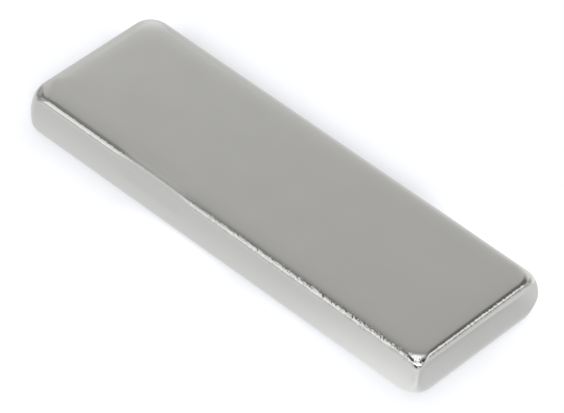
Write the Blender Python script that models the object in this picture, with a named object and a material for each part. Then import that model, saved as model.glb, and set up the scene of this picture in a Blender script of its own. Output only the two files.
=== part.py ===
"""Block magnet: one nickel-plated bar, with its edges tumbled soft and its corners worn round or flat.

The bar is a loft of rounded rectangles, stacked from the lower face to the upper one.
Units are metres and +Z is up. The origin is at the middle of the lower face, and X runs along the bar.
The front side is the one at -Y. Its upper edge has a worn place, where the side leans in.
"""
import math

import bmesh
import bpy

# Overall size
LENGTH = 0.030
WIDTH = 0.010
THICKNESS = 0.003

# Edges of the upper and lower faces: a superellipse, which is softer beside the faces than an arc
EDGE_EXTENT = 0.00066
EDGE_POWER = 2.7
EDGE_STEPS = 9

# Shoulder: the slight fall of each face towards its border, as wide as this from the walls
SHOULDER_WIDTH = 0.0019
SHOULDER_DROP = 0.00005
SHOULDER_POWER = 3
SHOULDER_STEPS = 2

# Upright edges: the radius of each, halfway up
NEAR_UPRIGHT_RADIUS = 0.00044
RIGHT_UPRIGHT_RADIUS = 0.00020
BACK_UPRIGHT_RADIUS = 0.00045
LEFT_UPRIGHT_RADIUS = 0.00066

# Corner wear: the radius of each corner where it meets the upper and the lower face
NEAR_UPPER_RADIUS = 0.00100
NEAR_LOWER_RADIUS = 0.00165
RIGHT_UPPER_RADIUS = 0.00115
RIGHT_LOWER_RADIUS = 0.00190
BACK_UPPER_RADIUS = 0.00150
BACK_LOWER_RADIUS = 0.00120
LEFT_UPPER_RADIUS = 0.00140
LEFT_LOWER_RADIUS = 0.00100

# Plan of a corner at its face: power 2 is an arc, and two corners are rubbed flatter than that
ARC_POWER = 2.0
RIGHT_UPPER_POWER = 1.6
LEFT_UPPER_POWER = 1.4

# How far a corner's wear reaches from its face, and the power with which it fades on the way
CORNER_REACH = 0.00150
CORNER_FADE = 2
NEAR_UPPER_REACH = 0.00062
NEAR_UPPER_FADE = 1.2

# Fineness of the mesh round a corner and up the flat band of the walls
CORNER_STEPS = 8
BELT_STEPS = 3

# Worn place on the front upper edge, measured from the bar's end at -X
WORN_START = 0.0066
WORN_END = 0.0132
WORN_RAMP = 0.0021
WORN_DEPTH = 0.00016
WORN_REACH = 0.0014
WORN_SHARPENING = 0.55
FRONT_STEPS = 36

# Nickel plate
PLATE_COLOUR = (0.66, 0.65, 0.62, 1.0)
PLATE_ROUGHNESS = 0.2

# Faces that meet at more than this angle keep a crisp edge between them
SMOOTH_ANGLE = math.radians(30)


def remove_scene_objects():
    for item in list(bpy.data.objects):
        bpy.data.objects.remove(item, do_unlink=True)


def shoulder_fall(inset):
    """How far the shoulder lies under the face's middle at an inset from the wall."""
    return SHOULDER_DROP * max(0.0, 1 - inset / SHOULDER_WIDTH) ** SHOULDER_POWER


def edge_profile(extent):
    """Points from the face to the wall: inset, depth under the face, and whether the edge rounds there."""
    points = []
    for step in range(SHOULDER_STEPS):
        inset = SHOULDER_WIDTH + (extent - SHOULDER_WIDTH) * step / SHOULDER_STEPS
        points.append((inset, shoulder_fall(inset), False))
    for step in range(EDGE_STEPS + 1):
        lean = math.pi / 2 * step / EDGE_STEPS
        if step == EDGE_STEPS:
            points.append((0.0, extent + SHOULDER_DROP, True))
            continue
        ratio = math.tan(lean) ** (1 / (EDGE_POWER - 1))
        rise = (1 + ratio**EDGE_POWER) ** (-1 / EDGE_POWER)
        inset = extent * (1 - ratio * rise)
        points.append((inset, extent * (1 - rise) + shoulder_fall(inset), True))
    return points


def half_levels():
    """Levels of half the bar, from a face to the middle: inset, depth, and whether the edge rounds there."""
    half = THICKNESS / 2
    extent = min(EDGE_EXTENT, half - SHOULDER_DROP)
    levels = edge_profile(extent)
    top_of_belt = extent + SHOULDER_DROP
    for step in range(1, BELT_STEPS + 1):
        depth = top_of_belt + (half - top_of_belt) * step / BELT_STEPS
        levels.append((0.0, depth, False))
    return levels


def corners(upper):
    """Anticlockwise from the near corner: place, face radius and power, upright radius, wear reach and fade."""
    if upper:
        return (
            (1, -1, NEAR_UPPER_RADIUS, ARC_POWER, NEAR_UPRIGHT_RADIUS, NEAR_UPPER_REACH, NEAR_UPPER_FADE),
            (1, 1, RIGHT_UPPER_RADIUS, RIGHT_UPPER_POWER, RIGHT_UPRIGHT_RADIUS, CORNER_REACH, CORNER_FADE),
            (-1, 1, BACK_UPPER_RADIUS, ARC_POWER, BACK_UPRIGHT_RADIUS, CORNER_REACH, CORNER_FADE),
            (-1, -1, LEFT_UPPER_RADIUS, LEFT_UPPER_POWER, LEFT_UPRIGHT_RADIUS, CORNER_REACH, CORNER_FADE),
        )
    return (
        (1, -1, NEAR_LOWER_RADIUS, ARC_POWER, NEAR_UPRIGHT_RADIUS, CORNER_REACH, CORNER_FADE),
        (1, 1, RIGHT_LOWER_RADIUS, ARC_POWER, RIGHT_UPRIGHT_RADIUS, CORNER_REACH, CORNER_FADE),
        (-1, 1, BACK_LOWER_RADIUS, ARC_POWER, BACK_UPRIGHT_RADIUS, CORNER_REACH, CORNER_FADE),
        (-1, -1, LEFT_LOWER_RADIUS, ARC_POWER, LEFT_UPRIGHT_RADIUS, CORNER_REACH, CORNER_FADE),
    )


def corner_wear(reach, fade, depth):
    """How worn a corner is at a depth: 1 at its face, and 0 where the wear ends."""
    return max(0.0, 1 - depth / min(reach, THICKNESS / 2)) ** fade


def corner_curve(radius, power):
    """A quarter of a plan superellipse about its centre, as how far forward and how far to the left."""
    points = []
    for step in range(CORNER_STEPS):
        turn = math.pi / 2 * step / CORNER_STEPS
        ratio = math.tan(turn) ** (1 / (power - 1))
        forward = radius * (1 + ratio**power) ** (-1 / power)
        points.append((forward, ratio * forward))
    points.append((0.0, radius))
    return points


def smooth_step(value):
    value = min(1.0, max(0.0, value))
    return value * value * (3 - 2 * value)


def wear_at(x):
    """How worn the front upper edge is at x, from 0 to 1."""
    along = x + LENGTH / 2
    rise = smooth_step((along - WORN_START) / WORN_RAMP)
    fall = smooth_step((WORN_END - along) / WORN_RAMP)
    return rise * fall


def front_point(x, inset, depth, rounded, upper):
    """A point of the front side: where the edge is worn, its rounding is tighter and the side leans in."""
    wear = wear_at(x) if upper else 0.0
    if rounded:
        inset *= 1 - WORN_SHARPENING * wear
        depth *= 1 - WORN_SHARPENING * wear
    lean = WORN_DEPTH * wear * max(0.0, 1 - depth / WORN_REACH)
    return x, -WIDTH / 2 + inset + lean, depth


def ring_points(inset, depth, rounded, upper):
    """One ring, anticlockwise from above, as x, y and depth: the four corners and then the front side."""
    points = []
    for side_x, side_y, face_radius, face_power, upright_radius, reach, fade in corners(upper):
        wear = corner_wear(reach, fade, depth)
        radius = upright_radius + (face_radius - upright_radius) * wear
        power = ARC_POWER + (face_power - ARC_POWER) * wear
        centre_x = side_x * (LENGTH / 2 - inset - radius)
        centre_y = side_y * (WIDTH / 2 - inset - radius)
        for forward, left in corner_curve(radius, power):
            along_x, along_y = (forward, left) if side_x == side_y else (left, forward)
            points.append((centre_x + side_x * along_x, centre_y + side_y * along_y, depth))
    start = points[-1][0]
    end = points[0][0]
    for step in range(1, FRONT_STEPS):
        x = start + (end - start) * step / FRONT_STEPS
        points.append(front_point(x, inset, depth, rounded, upper))
    return points


def all_rings():
    """Rings of the whole bar in world coordinates, from the lower face to the upper one."""
    levels = half_levels()
    rings = []
    for inset, depth, rounded in levels[:-1]:
        rings.append(ring_points(inset, depth, rounded, False))
    for inset, depth, rounded in reversed(levels):
        rings.append([(x, y, THICKNESS - low) for x, y, low in ring_points(inset, depth, rounded, True)])
    return rings


def loft(rings):
    """A closed mesh through the rings, with a flat face over the first and the last."""
    mesh = bmesh.new()
    rows = [[mesh.verts.new(point) for point in ring] for ring in rings]
    count = len(rows[0])
    for lower, upper in zip(rows, rows[1:]):
        for index in range(count):
            after = (index + 1) % count
            mesh.faces.new((lower[index], lower[after], upper[after], upper[index]))
    mesh.faces.new(reversed(rows[0]))
    mesh.faces.new(rows[-1])
    mesh.normal_update()
    return mesh


def nickel_plate():
    material = bpy.data.materials.new("nickel_plate")
    material.use_nodes = True
    shader = material.node_tree.nodes["Principled BSDF"]
    shader.inputs["Base Color"].default_value = PLATE_COLOUR
    shader.inputs["Metallic"].default_value = 1.0
    shader.inputs["Roughness"].default_value = PLATE_ROUGHNESS
    return material


def magnet_block():
    data = bpy.data.meshes.new("magnet_block")
    shape = loft(all_rings())
    shape.to_mesh(data)
    shape.free()
    data.shade_smooth()
    data.set_sharp_from_angle(angle=SMOOTH_ANGLE)
    data.materials.append(nickel_plate())
    block = bpy.data.objects.new("magnet_block", data)
    bpy.context.scene.collection.objects.link(block)
    # Keeps the shading of the large flat faces flat beside their rounded borders
    block.modifiers.new("flat_faces", "WEIGHTED_NORMAL")
    return block


remove_scene_objects()
magnet_block()
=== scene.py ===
"""Looks of the block magnet: a nickel-plated bar on a pale floor, in soft studio light."""
import math

import bmesh
import bpy
from mathutils import Matrix, Vector, noise


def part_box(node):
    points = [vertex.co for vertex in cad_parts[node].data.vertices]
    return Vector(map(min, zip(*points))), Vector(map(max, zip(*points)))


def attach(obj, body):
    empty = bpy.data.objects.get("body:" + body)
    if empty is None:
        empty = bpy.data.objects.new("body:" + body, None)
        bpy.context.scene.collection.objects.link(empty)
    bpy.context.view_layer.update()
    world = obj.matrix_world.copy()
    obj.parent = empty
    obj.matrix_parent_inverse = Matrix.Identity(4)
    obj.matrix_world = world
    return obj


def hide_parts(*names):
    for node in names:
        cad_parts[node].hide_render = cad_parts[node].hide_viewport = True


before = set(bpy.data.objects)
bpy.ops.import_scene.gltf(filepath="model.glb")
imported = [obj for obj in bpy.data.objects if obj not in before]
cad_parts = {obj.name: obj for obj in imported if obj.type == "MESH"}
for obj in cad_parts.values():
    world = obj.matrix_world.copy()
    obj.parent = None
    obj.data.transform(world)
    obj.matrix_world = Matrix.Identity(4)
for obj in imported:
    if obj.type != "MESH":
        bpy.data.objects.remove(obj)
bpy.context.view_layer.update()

LOW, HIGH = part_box("magnet_block")

# Size of the bar, from the frame
LENGTH = HIGH.x - LOW.x
WIDTH = HIGH.y - LOW.y
THICKNESS = HIGH.z - LOW.z

# Edge rounding: the superellipse of the CAD bar, in finer steps
EDGE_EXTENT = 0.00066
EDGE_POWER = 2.7
EDGE_STEPS = 20

# Shoulder: the slight fall of each face towards its border
SHOULDER_WIDTH = 0.0019
SHOULDER_DROP = 0.00005
SHOULDER_POWER = 3
SHOULDER_STEPS = 6

# Fineness of the mesh: up the flat band of the walls, round a corner, along a long side and a short one
BELT_STEPS = 3
CORNER_STEPS = 20
LONG_STEPS = 500
SHORT_STEPS = 170

# Corner wear: the plan power of an arc, how far the wear reaches and the power with which it fades
ARC_POWER = 2.0
CORNER_REACH = 0.00150
CORNER_FADE = 2

# Corners: side of X and of Y, radius and power at the face, upright radius, reach and fade of the wear
UPPER_CORNERS = (
    (1, -1, 0.00100, ARC_POWER, 0.00044, 0.00062, 1.2),
    (1, 1, 0.00115, 1.6, 0.00020, CORNER_REACH, CORNER_FADE),
    (-1, 1, 0.00150, ARC_POWER, 0.00045, CORNER_REACH, CORNER_FADE),
    (-1, -1, 0.00140, 1.4, 0.00066, CORNER_REACH, CORNER_FADE),
)
LOWER_CORNERS = (
    (1, -1, 0.00165, ARC_POWER, 0.00044, CORNER_REACH, CORNER_FADE),
    (1, 1, 0.00190, ARC_POWER, 0.00020, CORNER_REACH, CORNER_FADE),
    (-1, 1, 0.00120, ARC_POWER, 0.00045, CORNER_REACH, CORNER_FADE),
    (-1, -1, 0.00100, ARC_POWER, 0.00066, CORNER_REACH, CORNER_FADE),
)

# Worn place on the front upper edge, measured from the end at -X
WORN_START = 0.0066
WORN_END = 0.0132
WORN_RAMP = 0.0021
WORN_DEPTH = 0.00016
WORN_REACH = 0.0014
WORN_SHARPENING = 0.55

# Scuffing of the worn place: how much rougher it is
SCUFF_ROUGHNESS = 0.27
# It fades between these distances from the front and from the upper face
SCUFF_NEAR = 0.0003
SCUFF_FAR = 0.0007
# It leaves a tail along the edge towards +X
SCUFF_TAIL = 0.0055
SCUFF_TAIL_SHARE = 0.45

# Nicks along the rounded edges
NICK_LENGTH = 0.00012
NICK_DEPTH = 0.000028
# Depth counts at this share in their pattern, which draws them out up and down
NICK_STRETCH = 0.7

# Strength of the nicks and scratches: at the two ends of the front edge, and on the other edges
NICKS_BY_LENGTH = (0.15, 1.0)
NICKS_ELSEWHERE = 0.35
# Power with which the front's strength gives way as the surface turns from the front
FRONT_POWER = 12
# A point is on the straight front side if its outward direction has more than this along -Y
FRONT_OUT = 0.999

# Nickel plate: its two tints, with a mottle between them
PLATE_TINTS = ((0.650, 0.645, 0.612, 1), (0.662, 0.655, 0.628, 1))
MOTTLE_SCALE = 180
MOTTLE_DETAIL = 4

# Roughness of the plate, varied by a haze
PLATE_ROUGHNESS = (0.14, 0.19)
HAZE_SCALE = 420
HAZE_DETAIL = 3
HAZE_FROM_TO = (0.3, 0.7)

# Bump of the plate: a fine orange peel all over, and scratches on the edges
BUMP_DISTANCE = 0.00001
PEEL_SCALE = 5200
PEEL_DETAIL = 2
PEEL_SHARE = 0.1
SCRATCH_SCALE = 11000
SCRATCH_DETAIL = 0
SCRATCH_STRENGTH = 1.1

# Where scratches and polish come and go: 0 is on the walls, and 1 is on the flat faces
SCRATCHED_TO_FACE = (0.93, 0.985)
SCRATCHED_FROM_WALL = (0.15, 0.45)
POLISHED_TO_FACE = (0.85, 0.98)
POLISHED_FROM_WALL = (0.10, 0.40)
# Where the front gives way to the ends, by the Y of the direction that the surface faces
FRONT_TO_SIDE = (-0.4, -0.1)
# Share of the roughness that is left on the rubbed edges
EDGE_POLISH = 0.7

# Floor: a white sheet just under the bar
FLOOR_HALF = 1.5
FLOOR_GAP = 0.00002
FLOOR_WHITE = 0.9
FLOOR_TINT = (0.96, 0.973, 1.0)

# Floor as the camera sees it: its brightness, and the share that takes no shadow
FLOOR_FOR_CAMERA = 1.66
PLAIN_FOR_CAMERA = 0.28
# Painted contact shadow: an ambient-occlusion mask darkens the floor's emission for the camera beside the
# bar; how far from the bar it darkens, and how much where half of what is above is covered
CONTACT_DISTANCE = 0.0016
CONTACT_DARKNESS = 0.32

# Painted light: parts of the floor where less of the shadow shows, lightened by place; x, y, radius and
# share
FLOOR_CLEARINGS = (
    (0.0110, 0.0060, 0.0080, 0.55),
    (-0.0025, -0.0060, 0.0050, 0.55),
    (0.0060, -0.0060, 0.0070, 0.20),
    (-0.0166, 0.0066, 0.0030, 0.25),
)

# Floor as the metal shows it: the share that takes no shadow
PLAIN_IN_METAL = 0.85
# Painted reflection: the floor that the metal shows has its brightness set by place, which lays lighter
# and darker bands on the bar's walls
# Its brightness by the front, which changes from x = FRONT_RAMP to the end
FLOOR_BY_FRONT = (0.83, 1.02)
FRONT_RAMP = 0.0030
# Its brightness by the end, which changes from the front to y = END_RAMP
FLOOR_BY_END = (0.80, 0.685)
END_RAMP = 0.0010
# Painted light that it gains by the right corner, and the two y between which that comes in
RIM_PAINTED_LIGHT = 0.20
RIM_START = 0.0046
RIM_END = 0.0066

# Line between the front's floor and the end's, out from the near corner: half its blend, and its tilt
FLOOR_BLEND = 0.0007
CORNER_TILT = 0.4
# A painted lighter streak before that line, which the metal shows as a painted reflection
CORNER_STREAK = 0.04

# Painted glow at the foot of the bar, which the walls show as a painted highlight low down: its strength
# from x = GLOW_START to the end
GLOW = (0.12, 0.22)
GLOW_START = -0.0050
# The share of it that the end's side keeps
GLOW_KEPT_BY_END = 0.45
# The distances from the bar between which it fades
GLOW_NEAR = 0.0005
GLOW_FAR = 0.0019

# Painted light that the floor gains away from the bar as the metal shows it, and the two distances between
# which that comes in
AFAR = 0.07
AFAR_START = 0.0035
AFAR_END = 0.0100

# Studio room: brightness at rising elevations in degrees, up to straight overhead
OVERHEAD = 90
ROOM_LEVELS = (
    (0, 0.84),
    (16, 0.82),
    (28, 0.75),
    (34, 0.71),
    (40, 0.612),
    (43.5, 0.550),
    (46, 0.54),
    (58, 0.45),
    (66, 0.36),
    (71, 0.55),
    (75, 1.45),
    (82, 1.70),
)

# Soft-edged panels and gaps in the room, by where the bar shows them; each covers those before it
ROOM_PANELS = (
    # Columns: azimuth from +X, half width, lowest and highest elevation, softness, brightness
    # Far edges and back corner
    (134, 3, 8, 37.5, 4, 0.96),
    (134, 3, 8, 27, 6, 1.04),
    (146, 6, 8, 34, 5, 0.79),
    # Left corner
    (176, 9, -6, 30, 4, 0.52),
    (172, 8, 8, 13, 3, 0.40),
    (-172, 6, 12, 26, 4, 0.33),
    (-162, 9, 30, 42, 4, 0.56),
    (177, 5, 29, 43, 4, 0.24),
    (171, 9, 46, 58, 4, 0.22),
    (-157, 8, -6, 26, 5, 0.47),
    (-158, 13, 48, 62, 4, 0.25),
    # Front edge
    (-134, 10, 24, 54, 4, 1.02),
    (-118, 9, 18, 36, 6, 1.27),
    (-125, 22, 0, 14, 6, 0.73),
    # Near corner
    (-120, 26, 60, 78, 5, 0.22),
    (38, 14, 60, 79, 4, 0.35),
    (-50, 30, 54, 90, 6, 1.15),
    (-50, 20, 74, 90, 6, 1.90),
    (-106, 21, 48, 72, 4, 0.04),
    (13, 20, 46, 72, 4, 0.05),
    (-50, 47, 43, 51, 4, 2.10),
    (-42, 38, 23, 38, 3, 0.06),
    # End edge and right corner
    (76, 17, 44, 60, 5, 0.16),
    (80, 7, 21, 33, 4, 0.48),
    (95, 6, 36, 52, 5, 0.14),
    (88, 14, -10, 12, 5, 1.15),
    (47, 9, 38, 50, 5, 1.20),
    (32, 8, 30, 42, 5, 1.05),
    (48, 9, 22, 33, 5, 0.42),
    (105, 8, 4, 24, 5, 1.05),
)

# The brighter parts of the room are cooler: levels between which the tint comes in
COOL_FROM = 0.70
COOL_TO = 1.00
COOL_TINT = (0.98, 0.99, 1.02, 1)

# Level of the room as it lights the floor, and as the camera sees it
ROOM_FILL = 0.36
ROOM_FOR_CAMERA = 1.0

# Key lamp, over the viewer's shoulder: it lights the floor, and the metal shows the room instead of it
KEY_AZIMUTH = -53
KEY_ELEVATION = 39.5
KEY_DISTANCE = 0.6
KEY_WIDTH = 0.26
KEY_HEIGHT = 0.19
KEY_RADIANCE = 20

# Camera: a long lens, fitted to the photograph; focal length, across and up are in its pixels
IMAGE_WIDTH = 564
FOCAL_PIXELS = 4500
CAMERA_DISTANCE = 0.25146
CAMERA_AZIMUTH = 40.669
CAMERA_ELEVATION = 43.72
CAMERA_ROLL = 4.176
CAMERA_ACROSS = 4.864
CAMERA_UP = 12.702
SENSOR_WIDTH = 36.0
CLIP_START = 0.01
CLIP_END = 10


def smooth_step(value):
    value = min(1.0, max(0.0, value))
    return value * value * (3 - 2 * value)


def wear_at(x):
    """How worn the front upper edge is at x, from 0 to 1."""
    along = x + LENGTH / 2
    return smooth_step((along - WORN_START) / WORN_RAMP) * smooth_step((WORN_END - along) / WORN_RAMP)


def shoulder_fall(inset):
    """How far the shoulder lies under the face's middle at an inset from the wall."""
    return SHOULDER_DROP * max(0.0, 1 - inset / SHOULDER_WIDTH) ** SHOULDER_POWER


def edge_level(lean):
    """Inset and depth of the rounded edge where its surface leans by this from the face."""
    ratio = math.tan(lean) ** (1 / (EDGE_POWER - 1))
    rise = (1 + ratio**EDGE_POWER) ** (-1 / EDGE_POWER)
    inset = EDGE_EXTENT * (1 - ratio * rise)
    return inset, EDGE_EXTENT * (1 - rise) + shoulder_fall(inset)


def half_levels():
    """Levels of half the bar, from a face to the middle.

    Each is an inset, a depth, how far the surface leans from the face, and whether the edge rounds there.
    """
    levels = []
    for step in range(SHOULDER_STEPS):
        inset = SHOULDER_WIDTH + (EDGE_EXTENT - SHOULDER_WIDTH) * step / SHOULDER_STEPS
        levels.append((inset, shoulder_fall(inset), 0.0, False))
    for step in range(EDGE_STEPS):
        lean = math.pi / 2 * step / EDGE_STEPS
        levels.append((*edge_level(lean), lean, True))
    half = THICKNESS / 2
    top_of_belt = EDGE_EXTENT + SHOULDER_DROP
    levels.append((0.0, top_of_belt, math.pi / 2, True))
    for step in range(1, BELT_STEPS + 1):
        levels.append((0.0, top_of_belt + (half - top_of_belt) * step / BELT_STEPS, math.pi / 2, False))
    return levels


def corner_arc(corner, inset, depth):
    """A corner of a ring, anticlockwise, as places and outward directions; wear fades with the depth."""
    side_x, side_y, face_radius, face_power, upright_radius, reach, fade = corner
    wear = max(0.0, 1 - depth / reach) ** fade
    radius = upright_radius + (face_radius - upright_radius) * wear
    power = ARC_POWER + (face_power - ARC_POWER) * wear
    centre = Vector((side_x * (LENGTH / 2 - inset - radius), side_y * (WIDTH / 2 - inset - radius)))
    side = Vector((side_x, side_y))
    arc = []
    for step in range(CORNER_STEPS + 1):
        turn = math.pi / 2 * step / CORNER_STEPS
        forward, left = 0.0, radius
        if step < CORNER_STEPS:
            ratio = math.tan(turn) ** (1 / (power - 1))
            forward = radius * (1 + ratio**power) ** (-1 / power)
            left = ratio * forward
        place = Vector((forward, left))
        out = Vector((math.cos(turn), math.sin(turn)))
        if side_x != side_y:
            place, out = place.yx, out.yx
        arc.append((centre + side * place, side * out))
    return arc


def ring_outline(inset, depth, upper):
    """A ring's places and outward directions, anticlockwise: each corner and the side that follows it."""
    corners = UPPER_CORNERS if upper else LOWER_CORNERS
    arcs = [corner_arc(corner, inset, depth) for corner in corners]
    points = []
    for index, arc in enumerate(arcs):
        points += arc
        start, out = arc[-1]
        end = arcs[(index + 1) % len(arcs)][0][0]
        steps = SHORT_STEPS if index % 2 == 0 else LONG_STEPS
        for step in range(1, steps):
            points.append((start.lerp(end, step / steps), out))
    return points


def worn_front(x, y, inset, depth, rounded):
    """Y and depth of a point of the front side, where wear tightens the rounding and leans the side in."""
    wear = wear_at(x)
    if rounded:
        y -= inset * WORN_SHARPENING * wear
        depth *= 1 - WORN_SHARPENING * wear
    y += WORN_DEPTH * wear * max(0.0, 1 - depth / WORN_REACH)
    return y, depth


def nick(x, y, depth, lean, out):
    """How far a nick sinks the surface at a point that faces out; nothing on the faces and walls."""
    strength = min(1.0, 2 * math.sin(2 * lean) ** 2)
    left_end, right_end = NICKS_BY_LENGTH
    on_front = left_end + (right_end - left_end) * (x - LOW.x) / LENGTH
    frontal = max(0.0, -out.y) ** FRONT_POWER
    strength *= NICKS_ELSEWHERE + (on_front - NICKS_ELSEWHERE) * frontal
    value = noise.noise(Vector((x, y, depth * NICK_STRETCH)) / NICK_LENGTH)
    return NICK_DEPTH * strength * (0.5 + 0.5 * value)


def ring_points(inset, depth, lean, rounded, upper):
    """One ring of the finished surface, as x, y and depth."""
    points = []
    for (x, y), out in ring_outline(inset, depth, upper):
        low = depth
        if upper and out.y < -FRONT_OUT:
            y, low = worn_front(x, y, inset, depth, rounded)
        sink = nick(x, y, low, lean, out)
        x -= out.x * sink * math.sin(lean)
        y -= out.y * sink * math.sin(lean)
        low += sink * math.cos(lean)
        points.append((x, y, low))
    return points


def all_rings():
    """Rings of the whole bar in world coordinates, from the lower face to the upper one."""
    levels = half_levels()
    rings = []
    for level in levels[:-1]:
        rings.append([(x, y, LOW.z + low) for x, y, low in ring_points(*level, False)])
    for level in reversed(levels):
        rings.append([(x, y, HIGH.z - low) for x, y, low in ring_points(*level, True)])
    return rings


def new_object(name, shape):
    """An object in the scene with the shape as its mesh."""
    data = bpy.data.meshes.new(name)
    shape.to_mesh(data)
    shape.free()
    item = bpy.data.objects.new(name, data)
    bpy.context.scene.collection.objects.link(item)
    return item


def plated_bar():
    """The bar's fine surface: the CAD bar's loft in small steps, with nicks along its edges."""
    shape = bmesh.new()
    rows = [[shape.verts.new(point) for point in ring] for ring in all_rings()]
    count = len(rows[0])
    for lower, upper in zip(rows, rows[1:]):
        for index in range(count):
            after = (index + 1) % count
            shape.faces.new((lower[index], lower[after], upper[after], upper[index]))
    shape.faces.new(reversed(rows[0]))
    shape.faces.new(rows[-1])
    shape.normal_update()
    bar = new_object("plated_bar", shape)
    bar.data.shade_smooth()
    # Keeps the shading of the large flat faces flat beside their rounded borders
    bar.modifiers.new("flat_faces", "WEIGHTED_NORMAL")
    return bar


class Tree:
    """The node tree of a material or of the world, with short ways to add nodes to it."""

    def __init__(self, owner):
        owner.use_nodes = True
        self.nodes = owner.node_tree.nodes
        self.links = owner.node_tree.links
        self.nodes.clear()

    def put(self, socket, value):
        """Links a socket to another node's output, or sets it to a number, a vector or a colour."""
        if isinstance(value, bpy.types.NodeSocket):
            self.links.new(value, socket)
        else:
            socket.default_value = value

    def add(self, kind, inputs=(), **settings):
        """A new node, with its settings and the values of its inputs, by name or by number."""
        node = self.nodes.new("ShaderNode" + kind)
        for name, value in settings.items():
            setattr(node, name, value)
        for name, value in dict(inputs).items():
            self.put(node.inputs[name], value)
        return node

    def math(self, operation, *values):
        node = self.add("Math", enumerate(values), operation=operation)
        return node.outputs["Value"]

    def product(self, *values):
        result = values[0]
        for value in values[1:]:
            result = self.math("MULTIPLY", result, value)
        return result

    def remap(self, value, low, high, to_low, to_high, smooth=False):
        """The value taken from one range to another, and held at the ends of both."""
        inputs = {"Value": value, "From Min": low, "From Max": high, "To Min": to_low, "To Max": to_high}
        interpolation = "SMOOTHSTEP" if smooth else "LINEAR"
        return self.add("MapRange", inputs, interpolation_type=interpolation).outputs["Result"]

    def mix(self, share, first, second, **settings):
        """A blend of two values, or of two colours where the settings say so."""
        inputs = {"Factor": share, "A": first, "B": second}
        return self.add("Mix", inputs, **settings).outputs["Result"]

    def mix_shaders(self, share, first, second):
        return self.add("MixShader", {"Fac": share, 1: first, 2: second}).outputs["Shader"]

    def noise(self, place, scale, detail):
        """A noise pattern, from 0 to 1."""
        return self.add("TexNoise", {"Vector": place, "Scale": scale, "Detail": detail}).outputs["Fac"]

    def axes(self, vector):
        """The X, Y and Z parts of a vector."""
        parts = self.add("SeparateXYZ", {"Vector": vector})
        return parts.outputs["X"], parts.outputs["Y"], parts.outputs["Z"]

    def coordinates(self, kind):
        return self.add("TexCoord").outputs[kind]


def worn_mask(tree, place):
    """1 on the worn place of the front upper edge, and 0 away from it."""
    along, across, height = tree.axes(place)
    start = LOW.x + WORN_START
    end = LOW.x + WORN_END
    return tree.product(
        tree.remap(along, start, start + WORN_RAMP, 0, 1, smooth=True),
        tree.remap(along, end - WORN_RAMP, end, 1, SCUFF_TAIL_SHARE, smooth=True),
        tree.remap(along, end, end + SCUFF_TAIL, 1, 0, smooth=True),
        tree.remap(across, LOW.y + SCUFF_NEAR, LOW.y + SCUFF_FAR, 1, 0, smooth=True),
        tree.remap(height, HIGH.z - SCUFF_FAR, HIGH.z - SCUFF_NEAR, 0, 1, smooth=True),
    )


def polish(tree, upward):
    """The share of the roughness that is left: all of it on faces and walls, less on the rubbed edges."""
    by_face = tree.remap(upward, *POLISHED_TO_FACE, EDGE_POLISH, 1, smooth=True)
    by_wall = tree.remap(upward, *POLISHED_FROM_WALL, 1, EDGE_POLISH, smooth=True)
    return tree.math("MAXIMUM", by_face, by_wall)


def edge_mask(tree, place, facing, upward):
    """The strength of the scratches: none on faces and walls, and most halfway round the front edge."""
    off_face = tree.remap(upward, *SCRATCHED_TO_FACE, SCRATCH_STRENGTH, 0, smooth=True)
    off_wall = tree.remap(upward, *SCRATCHED_FROM_WALL, 0, 1, smooth=True)
    frontal = tree.remap(facing, *FRONT_TO_SIDE, 1, 0, smooth=True)
    on_front = tree.remap(tree.axes(place)[0], LOW.x, HIGH.x, *NICKS_BY_LENGTH)
    return tree.product(off_face, off_wall, tree.mix(frontal, NICKS_ELSEWHERE, on_front))


def nickel_plate():
    material = bpy.data.materials.new("nickel_plate")
    tree = Tree(material)
    place = tree.coordinates("Object")
    _, facing, rising = tree.axes(tree.coordinates("Normal"))
    upward = tree.math("ABSOLUTE", rising)

    mottle = tree.noise(place, MOTTLE_SCALE, MOTTLE_DETAIL)
    colour = tree.mix(mottle, *PLATE_TINTS, data_type="RGBA")

    haze = tree.remap(tree.noise(place, HAZE_SCALE, HAZE_DETAIL), *HAZE_FROM_TO, *PLATE_ROUGHNESS)
    hazy = tree.product(haze, polish(tree, upward))
    scuff = tree.product(worn_mask(tree, place), SCUFF_ROUGHNESS)

    fine = tree.product(tree.noise(place, PEEL_SCALE, PEEL_DETAIL), PEEL_SHARE)
    scratches = tree.noise(place, SCRATCH_SCALE, SCRATCH_DETAIL)
    coarse = tree.product(scratches, edge_mask(tree, place, facing, upward))
    height = tree.math("ADD", fine, coarse)
    bump = tree.add("Bump", {"Height": height, "Strength": 1, "Distance": BUMP_DISTANCE})

    inputs = {
        "Base Color": colour,
        "Metallic": 1,
        "Roughness": tree.math("ADD", hazy, scuff),
        "Normal": bump.outputs["Normal"],
    }
    shader = tree.add("BsdfPrincipled", inputs)
    tree.add("OutputMaterial", {"Surface": shader.outputs["BSDF"]})
    return material


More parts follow.
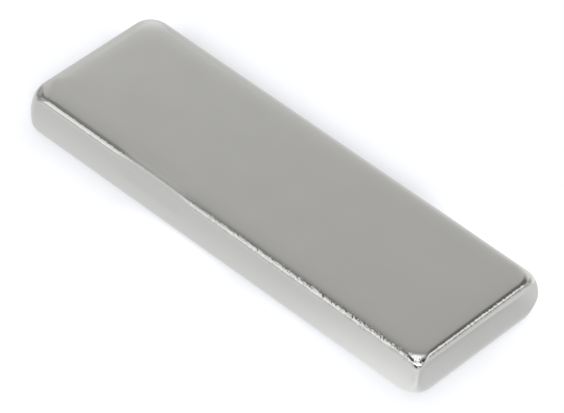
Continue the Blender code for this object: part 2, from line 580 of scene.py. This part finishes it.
def floor_in_metal(tree, along, across):
    """How bright the metal shows the floor, a painted reflection set by place: by the front or by the end,
    and lighter at the bar's foot.
    """
    before_front = tree.math("SUBTRACT", LOW.y, across)
    beyond_end = tree.math("SUBTRACT", along, HIGH.x)
    past_end = tree.remap(beyond_end, -FLOOR_BLEND, FLOOR_BLEND, 0, 1, smooth=True)
    tilted = tree.math("SUBTRACT", tree.product(beyond_end, CORNER_TILT), before_front)
    past_front = tree.remap(tilted, -FLOOR_BLEND, FLOOR_BLEND, 0, 1, smooth=True)
    end_share = tree.product(past_end, past_front)

    by_front = tree.remap(along, FRONT_RAMP, HIGH.x, *FLOOR_BY_FRONT, smooth=True)
    by_end = tree.remap(across, LOW.y, END_RAMP, *FLOOR_BY_END)
    by_rim = tree.remap(across, RIM_START, RIM_END, 0, RIM_PAINTED_LIGHT, smooth=True)
    level = tree.mix(end_share, by_front, tree.math("ADD", by_end, by_rim))

    outside = tree.math("MAXIMUM", before_front, beyond_end)
    # Painted glow: the floor that the metal shows is made lighter near the bar's foot
    close = tree.remap(outside, GLOW_NEAR, GLOW_FAR, 1, 0, smooth=True)
    strongest = tree.remap(along, GLOW_START, HIGH.x, *GLOW, smooth=True)
    kept = tree.remap(end_share, 0, 1, 1, GLOW_KEPT_BY_END)
    glow = tree.math("ADD", tree.product(close, tree.product(strongest, kept)), 1)
    afar = tree.remap(outside, AFAR_START, AFAR_END, 1, 1 + AFAR, smooth=True)
    before_split = tree.remap(tilted, -FLOOR_BLEND, FLOOR_BLEND, CORNER_STREAK, 0, smooth=True)
    streak = tree.math("ADD", tree.product(past_end, before_split), 1)
    return tree.product(level, glow, afar, streak)


def plain_for_camera(tree, place):
    """The share of the floor that the camera sees without shadow, raised in painted clearings that lighten
    the shadow by place.
    """
    plain = PLAIN_FOR_CAMERA
    for x, y, radius, share in FLOOR_CLEARINGS:
        away = tree.add("VectorMath", {0: place, 1: (x, y, 0)}, operation="DISTANCE")
        clear = tree.remap(away.outputs["Value"], 0, radius, share, 0, smooth=True)
        plain = tree.math("ADD", plain, clear)
    return plain


def pale_floor():
    """A white sheet's material. Camera and metal see much of it as plain white, so its shadow is light; a
    painted contact shadow darkens it for the camera, and the metal shows it with painted reflection bands.
    """
    material = bpy.data.materials.new("pale_floor")
    tree = Tree(material)
    path = tree.add("LightPath")
    to_camera = path.outputs["Is Camera Ray"]
    to_metal = path.outputs["Is Glossy Ray"]
    place = tree.coordinates("Object")
    along, across, _ = tree.axes(place)

    # Painted contact shadow: near the bar, an ambient-occlusion mask darkens the floor's emission for the
    # camera
    contact = tree.add("AmbientOcclusion", {"Distance": CONTACT_DISTANCE})
    painted_contact_shade = tree.remap(contact.outputs["AO"], 0, 1, 1 - 2 * CONTACT_DARKNESS, 1)
    seen = tree.product(to_camera, tree.product(painted_contact_shade, FLOOR_FOR_CAMERA))
    # Painted reflection: glossy rays see the floor's emission at a brightness set by place
    painted_reflection = tree.product(to_metal, floor_in_metal(tree, along, across))
    strength = tree.math("ADD", seen, painted_reflection)
    white = tree.add("Emission", {"Color": (*FLOOR_TINT, 1), "Strength": strength})

    painted = (*(FLOOR_WHITE * share for share in FLOOR_TINT), 1)
    diffuse = tree.add("BsdfDiffuse", {"Color": painted})
    plain_seen = tree.product(to_camera, plain_for_camera(tree, place))
    plain = tree.math("ADD", plain_seen, tree.product(to_metal, PLAIN_IN_METAL))
    surface = tree.mix_shaders(plain, diffuse.outputs["BSDF"], white.outputs["Emission"])
    tree.add("OutputMaterial", {"Surface": surface})
    return material


def floor_sheet():
    shape = bmesh.new()
    bmesh.ops.create_grid(shape, x_segments=1, y_segments=1, size=FLOOR_HALF)
    floor = new_object("floor", shape)
    floor.location.z = LOW.z - FLOOR_GAP
    floor.data.materials.append(pale_floor())
    return floor


def room_level(tree, elevation):
    """The room's brightness at an elevation, without its panels."""
    ramp = tree.add("ValToRGB", {"Fac": tree.math("DIVIDE", elevation, OVERHEAD)})
    stops = ramp.color_ramp.elements
    for index, (degrees, level) in enumerate(ROOM_LEVELS):
        position = degrees / OVERHEAD
        stop = stops[index] if index < 2 else stops.new(position)
        stop.position = position
        stop.color = (level, level, level, 1)
    return ramp.outputs["Color"]


def room_light(tree):
    """The light that comes from each direction of the room."""
    x, y, z = tree.axes(tree.coordinates("Generated"))
    height = tree.math("ARCSINE", z)
    elevation = tree.math("DEGREES", height)
    ground = tree.math("COSINE", height)
    light = room_level(tree, elevation)
    for azimuth, half, low, high, soft, level in ROOM_PANELS:
        turn = math.radians(azimuth)
        along = tree.math("ADD", tree.product(x, math.cos(turn)), tree.product(y, math.sin(turn)))
        away = tree.math("DEGREES", tree.math("ARCCOSINE", tree.math("DIVIDE", along, ground)))
        across = tree.remap(away, half, half + soft, 1, 0, smooth=True)
        above = tree.remap(elevation, low - soft, low, 0, 1, smooth=True)
        below = tree.remap(elevation, high, high + soft, 1, 0, smooth=True)
        light = tree.mix(tree.product(across, tree.product(above, below)), light, level)
    cool = tree.remap(light, COOL_FROM, COOL_TO, 0, 1, smooth=True)
    return tree.mix(cool, light, COOL_TINT, data_type="RGBA", blend_type="MULTIPLY")


def studio_room():
    """The world: the metal shows the room, and the floor and the camera get a plain level of it."""
    world = bpy.data.worlds.new("studio_room")
    bpy.context.scene.world = world
    tree = Tree(world)
    path = tree.add("LightPath")
    shader = tree.add("Background", {"Color": room_light(tree)}).outputs["Background"]
    for ray, level in (("Is Diffuse Ray", ROOM_FILL), ("Is Camera Ray", ROOM_FOR_CAMERA)):
        plain = tree.add("Background", {"Color": (level, level, level, 1)})
        shader = tree.mix_shaders(path.outputs[ray], shader, plain.outputs["Background"])
    tree.add("OutputWorld", {"Surface": shader})


def key_lamp():
    lamp = bpy.data.lights.new("key_lamp", "AREA")
    lamp.shape = "RECTANGLE"
    lamp.size = KEY_WIDTH
    lamp.size_y = KEY_HEIGHT
    lamp.energy = KEY_RADIANCE * KEY_WIDTH * KEY_HEIGHT * math.pi
    holder = bpy.data.objects.new("key_lamp", lamp)
    bpy.context.scene.collection.objects.link(holder)
    azimuth, elevation = math.radians(KEY_AZIMUTH), math.radians(KEY_ELEVATION)
    ground = Vector((math.cos(azimuth), math.sin(azimuth), 0)) * math.cos(elevation)
    direction = ground + Vector((0, 0, math.sin(elevation)))
    holder.location = direction * KEY_DISTANCE
    holder.rotation_mode = "QUATERNION"
    holder.rotation_quaternion = direction.to_track_quat("Z", "Y")
    holder.visible_glossy = False
    holder.visible_camera = False


def camera_axes():
    """The camera's right, up and backward directions."""
    azimuth, elevation, roll = (math.radians(v) for v in (CAMERA_AZIMUTH, CAMERA_ELEVATION, CAMERA_ROLL))
    back = Vector(
        (
            math.sin(azimuth) * math.cos(elevation),
            -math.cos(azimuth) * math.cos(elevation),
            math.sin(elevation),
        )
    )
    level = Vector((math.cos(azimuth), math.sin(azimuth), 0))
    above = back.cross(level)
    right = level * math.cos(roll) + above * math.sin(roll)
    return right, back.cross(right), back


def photo_camera():
    right, up, back = camera_axes()
    data = bpy.data.cameras.new("camera")
    data.sensor_width = SENSOR_WIDTH
    data.lens = SENSOR_WIDTH * FOCAL_PIXELS / IMAGE_WIDTH
    data.clip_start = CLIP_START
    data.clip_end = CLIP_END
    pixel = CAMERA_DISTANCE / FOCAL_PIXELS
    place = back * CAMERA_DISTANCE + right * CAMERA_ACROSS * pixel + up * CAMERA_UP * pixel
    camera = bpy.data.objects.new("camera", data)
    bpy.context.scene.collection.objects.link(camera)
    turn = Matrix((right, up, back)).transposed().to_4x4()
    camera.matrix_world = Matrix.Translation(place) @ turn
    bpy.context.scene.camera = camera


bar = plated_bar()
bar.data.materials.append(nickel_plate())
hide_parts("magnet_block")
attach(bar, "root")
floor = floor_sheet()
studio_room()
key_lamp()
photo_camera()
bpy.context.scene.view_settings.view_transform = "Standard"
